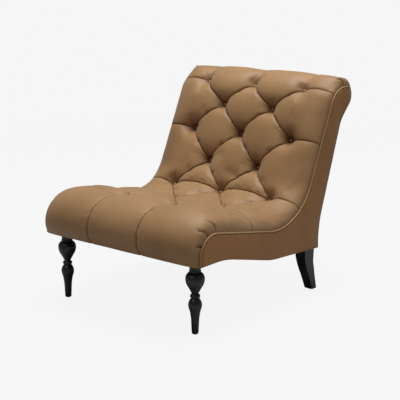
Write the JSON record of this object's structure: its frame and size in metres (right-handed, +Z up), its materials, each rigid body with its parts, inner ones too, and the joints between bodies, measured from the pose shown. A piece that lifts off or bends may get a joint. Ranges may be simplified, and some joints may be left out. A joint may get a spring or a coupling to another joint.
{
  "type": "slipper chair",
  "caption": "Armless deep-buttoned leather slipper chair with a rolled scroll back, serpentine sides, turned front legs and sabre rear legs.",
  "frame": {"origin": "on the floor, under the middle of the whole chair's bounding box", "axes": "+Z up, +X to the chair's own left as its sitter faces, -Y the way its sitter faces"},
  "size_m": [0.7474, 0.9646, 0.8125],
  "materials": {
    "tan_leather": "semi-aniline tan leather, fine grain, soft sheen",
    "piping_leather": "tan leather piping, fine grain",
    "button_leather": "tan leather over a dome, soft sheen",
    "black_leg_lacquer": "turned and sawn beech, black satin lacquer",
    "birch_plywood": "sawn birch plywood",
    "beech_frame": "planed beech",
    "jute_webbing": "woven jute",
    "hessian": "plain woven hessian",
    "pad_foam": "upholstery foam",
    "polyester_wadding": "bonded wadding",
    "black_cambric": "black spun-bonded cambric",
    "linen_twine": "waxed linen twine",
    "washer_plastic": "moulded black plastic",
    "nylon_glide": "moulded nylon",
    "zinc_steel": "zinc-plated steel"
  },
  "bodies": {
    "root": {"back_buttons": "button_leather", "back_cover": "tan_leather", "back_pad": "pad_foam", "back_webbing": "jute_webbing", "button_twines": "linen_twine", "corner_block_front_left": "beech_frame", "corner_block_front_right": "beech_frame", "corner_block_rear_left": "beech_frame", "corner_block_rear_right": "beech_frame", "cross_webbing": "jute_webbing", "deck_hessian": "hessian", "dust_cover": "black_cambric", "frame_screws": "zinc_steel", "front_leg_left": "black_leg_lacquer", "front_leg_right": "black_leg_lacquer", "front_rail": "beech_frame", "gable_left": "birch_plywood", "gable_right": "birch_plywood", "glide_front_left": "nylon_glide", "glide_front_right": "nylon_glide", "glide_rear_left": "nylon_glide", "glide_rear_right": "nylon_glide", "hanger_bolts": "zinc_steel", "nose_rail": "beech_frame", "rear_cover": "tan_leather", "rear_leg_left": "black_leg_lacquer", "rear_leg_right": "black_leg_lacquer", "rear_rail": "beech_frame", "rear_wadding": "polyester_wadding", "scroll_roller": "beech_frame", "seat_buttons": "button_leather", "seat_cover": "tan_leather", "seat_pad": "pad_foam", "seat_rail": "beech_frame", "seat_webbing": "jute_webbing", "side_cover_left": "tan_leather", "side_cover_right": "tan_leather", "side_wadding_left": "polyester_wadding", "side_wadding_right": "polyester_wadding", "tee_nuts": "zinc_steel", "top_rail": "beech_frame", "twine_washers": "washer_plastic", "waist_rail": "beech_frame", "welt_left": "piping_leather", "welt_right": "piping_leather"}
  },
  "joints": []
}
